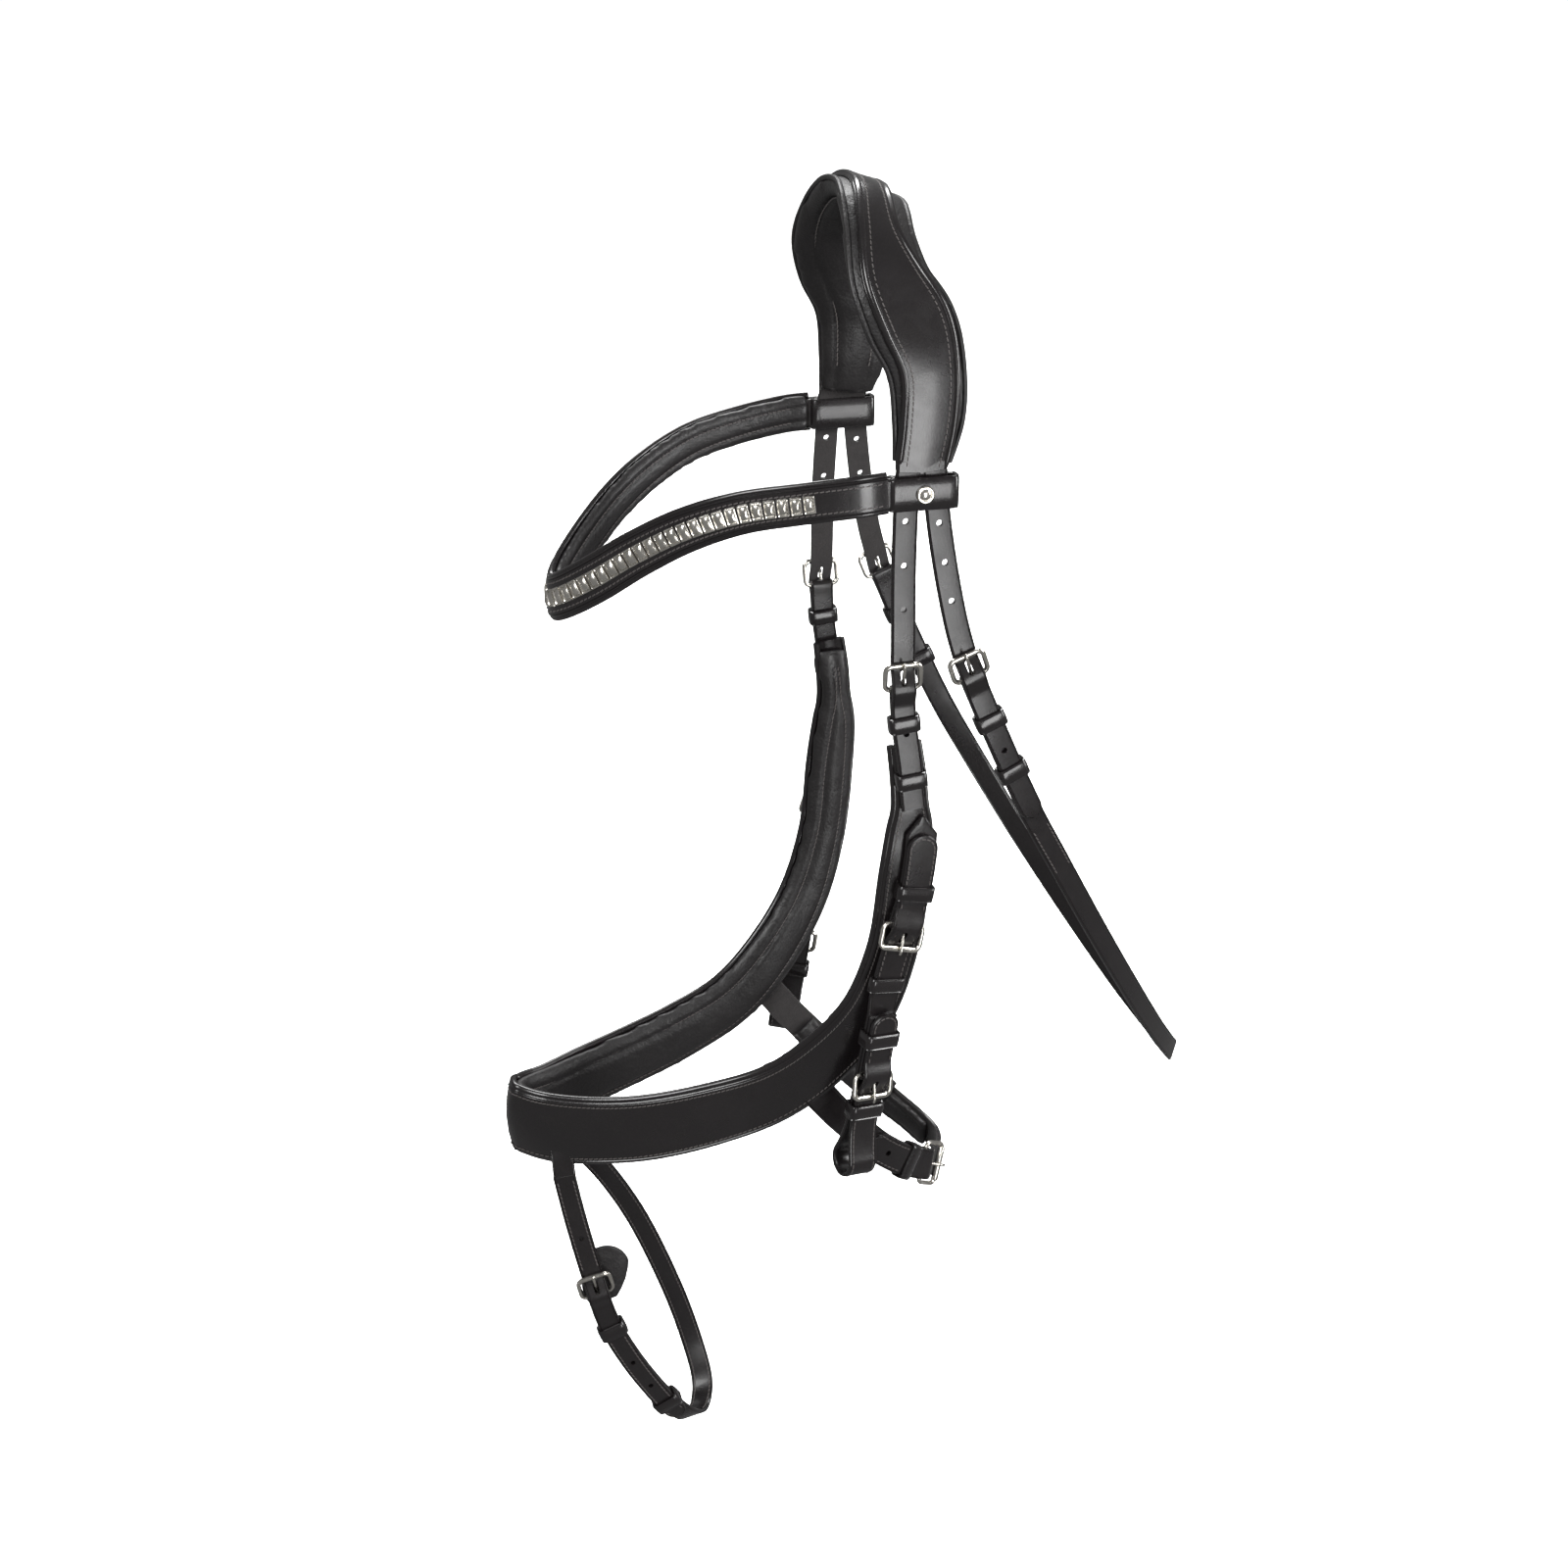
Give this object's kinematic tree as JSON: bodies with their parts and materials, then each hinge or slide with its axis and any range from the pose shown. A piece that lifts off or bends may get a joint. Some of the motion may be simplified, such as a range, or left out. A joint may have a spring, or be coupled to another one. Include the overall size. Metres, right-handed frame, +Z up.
{
  "type": "snaffle bridle",
  "caption": "English snaffle bridle in black leather: padded headpiece, wave browband with clinchers, padded noseband with chin strap and flash strap, throatlatch and bit straps.",
  "frame": {"origin": "poll seat: the middle of the underside of the headpiece pad, where the bridle hangs on the horse's head", "axes": "+Z up, -X towards the nose, -Y the horse's left side (near side), in the plane symmetric about Y = 0"},
  "size_m": [0.3977, 0.1854, 0.7271],
  "materials": {
    "leather_outer": "polished grain",
    "leather_pad": "soft matte",
    "leather_strap": "satin grain",
    "nickel": "polished nickel plate"
  },
  "bodies": {
    "headpiece": {"headpiece_leather": "leather_outer", "headpiece_pad": "leather_pad", "cheek_billet_L": "leather_strap", "cheek_billet_R": "leather_strap", "throat_billet_L": "leather_strap", "throat_billet_R": "leather_strap"},
    "browband": {"browband_leather": "leather_outer", "browband_pad": "leather_pad", "browband_loops": "leather_outer", "browband_clinchers": "nickel", "browband_badges": "nickel"},
    "noseband": {"noseband_leather": "leather_outer", "noseband_pad": "leather_pad", "cheek_chape_L": "leather_strap", "cheek_chape_R": "leather_strap", "cheek_billet_ends": "leather_strap", "cheek_buckle_L": "nickel", "cheek_buckle_R": "nickel", "cheek_keepers": "leather_strap", "bit_hanger_L": "leather_strap", "bit_hanger_R": "leather_strap", "bit_strap_tops": "leather_strap", "bit_top_buckle_L": "nickel", "bit_top_buckle_R": "nickel", "bit_top_keepers": "leather_strap", "chin_chape": "leather_strap", "chin_strap": "leather_strap", "chin_pad": "leather_pad", "chin_buckle": "nickel", "chin_keepers": "leather_strap", "flash_tunnel": "leather_strap", "flash_middle": "leather_strap"},
    "cheek_tongue_L": {"cheek_tongue_L": "nickel"},
    "bit_top_tongue_L": {"bit_top_tongue_L": "nickel"},
    "cheek_tongue_R": {"cheek_tongue_R": "nickel"},
    "bit_top_tongue_R": {"bit_top_tongue_R": "nickel"},
    "bit_strap_L": {"bit_strap_L": "leather_strap", "bit_buckle_L": "nickel", "bit_keepers_L": "leather_strap"},
    "bit_tongue_L": {"bit_tongue_L": "nickel"},
    "bit_strap_R": {"bit_strap_R": "leather_strap", "bit_buckle_R": "nickel", "bit_keepers_R": "leather_strap"},
    "bit_tongue_R": {"bit_tongue_R": "nickel"},
    "throatlatch": {"throat_strap": "leather_strap", "throat_billet_ends": "leather_strap", "throat_buckle_L": "nickel", "throat_buckle_R": "nickel", "throat_keepers": "leather_strap"},
    "throat_tongue_L": {"throat_tongue_L": "nickel"},
    "throat_tongue_R": {"throat_tongue_R": "nickel"},
    "chin_tongue": {"chin_tongue": "nickel"},
    "chin_roller": {"chin_roller": "nickel"},
    "flash": {"flash_strap": "leather_strap", "flash_billet": "leather_strap", "flash_buckle": "nickel", "flash_keepers": "leather_strap", "flash_guard": "leather_pad"},
    "flash_tongue": {"flash_tongue": "nickel"}
  },
  "joints": [
    {"name": "browband_slide", "type": "slide", "parent": "headpiece", "child": "browband", "axis": [0, 0, 1], "range_m": [-0.006, 0]},
    {"name": "noseband_swing", "type": "hinge", "parent": "headpiece", "child": "noseband", "pos_m": [-0.003, 0, -0.20077], "axis": [0, 1, 0], "range_deg": [-8, 8]},
    {"name": "cheek_tongue_L_hinge", "type": "hinge", "parent": "noseband", "child": "cheek_tongue_L", "pos_m": [-0.00299, -0.081, -0.22226], "axis": [0.9995, 0, 0.0311], "range_deg": [0, 10]},
    {"name": "bit_top_tongue_L_hinge", "type": "hinge", "parent": "noseband", "child": "bit_top_tongue_L", "pos_m": [0.0003, -0.08314, -0.35315], "axis": [-0.9593, -0.1057, 0.2619], "range_deg": [0, 10]},
    {"name": "cheek_tongue_R_hinge", "type": "hinge", "parent": "noseband", "child": "cheek_tongue_R", "pos_m": [-0.00299, 0.081, -0.22226], "axis": [-0.9995, 0, -0.0311], "range_deg": [0, 10]},
    {"name": "bit_top_tongue_R_hinge", "type": "hinge", "parent": "noseband", "child": "bit_top_tongue_R", "pos_m": [0.0003, 0.08314, -0.35315], "axis": [0.9593, -0.1057, -0.2619], "range_deg": [0, 10]},
    {"name": "bit_strap_L_flex", "type": "hinge", "parent": "noseband", "child": "bit_strap_L", "pos_m": [-0.00906, -0.08473, -0.39947], "axis": [-0.9477, -0.2843, 0.1454], "range_deg": [0, 15]},
    {"name": "bit_tongue_L_hinge", "type": "hinge", "parent": "bit_strap_L", "child": "bit_tongue_L", "pos_m": [-0.01532, -0.08433, -0.43949], "axis": [-0.9477, -0.2843, 0.1454], "range_deg": [0, 10]},
    {"name": "bit_strap_R_flex", "type": "hinge", "parent": "noseband", "child": "bit_strap_R", "pos_m": [-0.00906, 0.08473, -0.39947], "axis": [0.9477, -0.2843, -0.1454], "range_deg": [0, 15]},
    {"name": "bit_tongue_R_hinge", "type": "hinge", "parent": "bit_strap_R", "child": "bit_tongue_R", "pos_m": [-0.01532, 0.08433, -0.43949], "axis": [0.9477, -0.2843, -0.1454], "range_deg": [0, 10]},
    {"name": "throatlatch_swing", "type": "hinge", "parent": "headpiece", "child": "throatlatch", "pos_m": [0.02428, 0, -0.19181], "axis": [0, -1, 0], "range_deg": [-8, 12]},
    {"name": "throat_tongue_L_hinge", "type": "hinge", "parent": "throatlatch", "child": "throat_tongue_L", "pos_m": [0.03257, -0.08305, -0.21849], "axis": [0.9327, -0.0001, 0.3606], "range_deg": [0, 10]},
    {"name": "throat_tongue_R_hinge", "type": "hinge", "parent": "throatlatch", "child": "throat_tongue_R", "pos_m": [0.03257, 0.08305, -0.21849], "axis": [-0.9327, -0.0001, -0.3606], "range_deg": [0, 10]},
    {"name": "chin_tongue_hinge", "type": "hinge", "parent": "noseband", "child": "chin_tongue", "pos_m": [0.02847, -0.03649, -0.53229], "axis": [-0.3158, -0.3199, -0.8933], "range_deg": [0, 10]},
    {"name": "chin_roller_spin", "type": "hinge", "parent": "noseband", "child": "chin_roller", "pos_m": [0.03936, -0.03109, -0.53807], "axis": [-0.3158, -0.3199, -0.8933], "continuous": true},
    {"name": "flash_swing", "type": "hinge", "parent": "noseband", "child": "flash", "pos_m": [-0.175, 0, -0.514], "axis": [0, 1, 0], "range_deg": [-12, 12]},
    {"name": "flash_tongue_hinge", "type": "hinge", "parent": "flash", "child": "flash_tongue", "pos_m": [-0.15972, -0.03309, -0.59314], "axis": [0.9766, 0.0072, 0.2149], "range_deg": [0, 10]}
  ]
}
